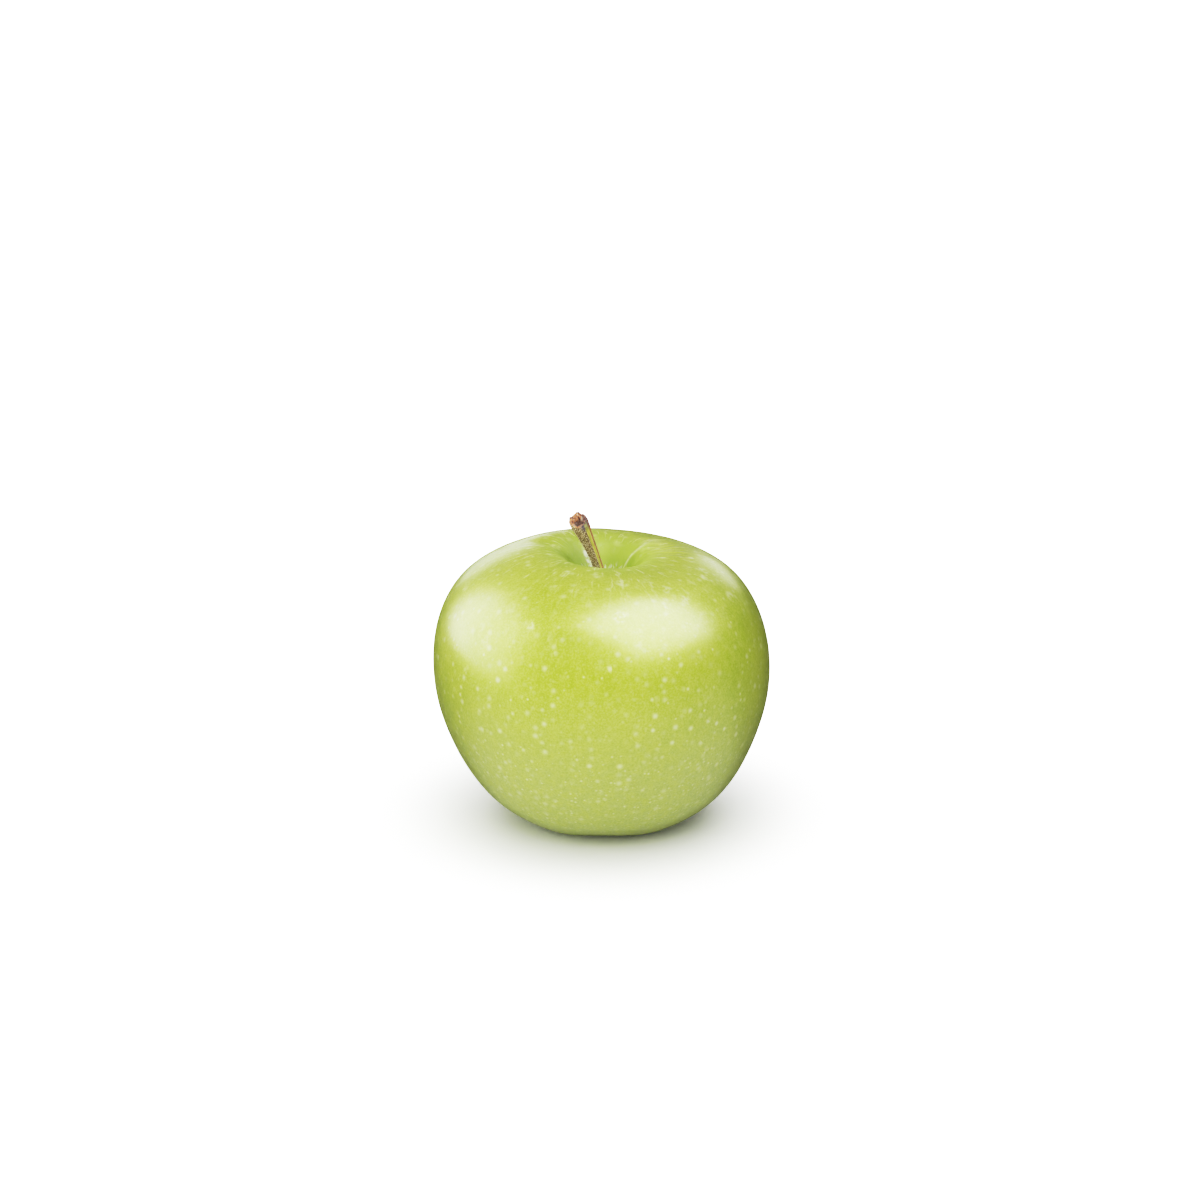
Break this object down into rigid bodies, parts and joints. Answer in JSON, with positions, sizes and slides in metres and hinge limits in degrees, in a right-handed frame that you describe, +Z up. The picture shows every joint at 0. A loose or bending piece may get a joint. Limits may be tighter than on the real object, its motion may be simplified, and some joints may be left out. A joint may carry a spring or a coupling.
{
  "type": "apple",
  "caption": "Whole round apple with a leaning woody stem in a deep cavity, a dried calyx in the basin underneath and flat feet to stand on.",
  "frame": {"origin": "middle of the base, on the surface that the apple stands on", "axes": "+Z up along the fruit's axis, -Y towards the front, +X to the right seen from the front; the stem leans towards -X"},
  "size_m": [0.0759, 0.0759, 0.0707],
  "materials": {
    "skin": "gloss",
    "bark": "matte",
    "dried_sepal": "matte",
    "withered_filament": "matte"
  },
  "bodies": {
    "root": {"fruit": "skin", "stem": "bark", "sepal_1": "dried_sepal", "sepal_2": "dried_sepal", "sepal_3": "dried_sepal", "sepal_4": "dried_sepal", "sepal_5": "dried_sepal", "stamens": "withered_filament", "styles": "withered_filament"}
  },
  "joints": []
}
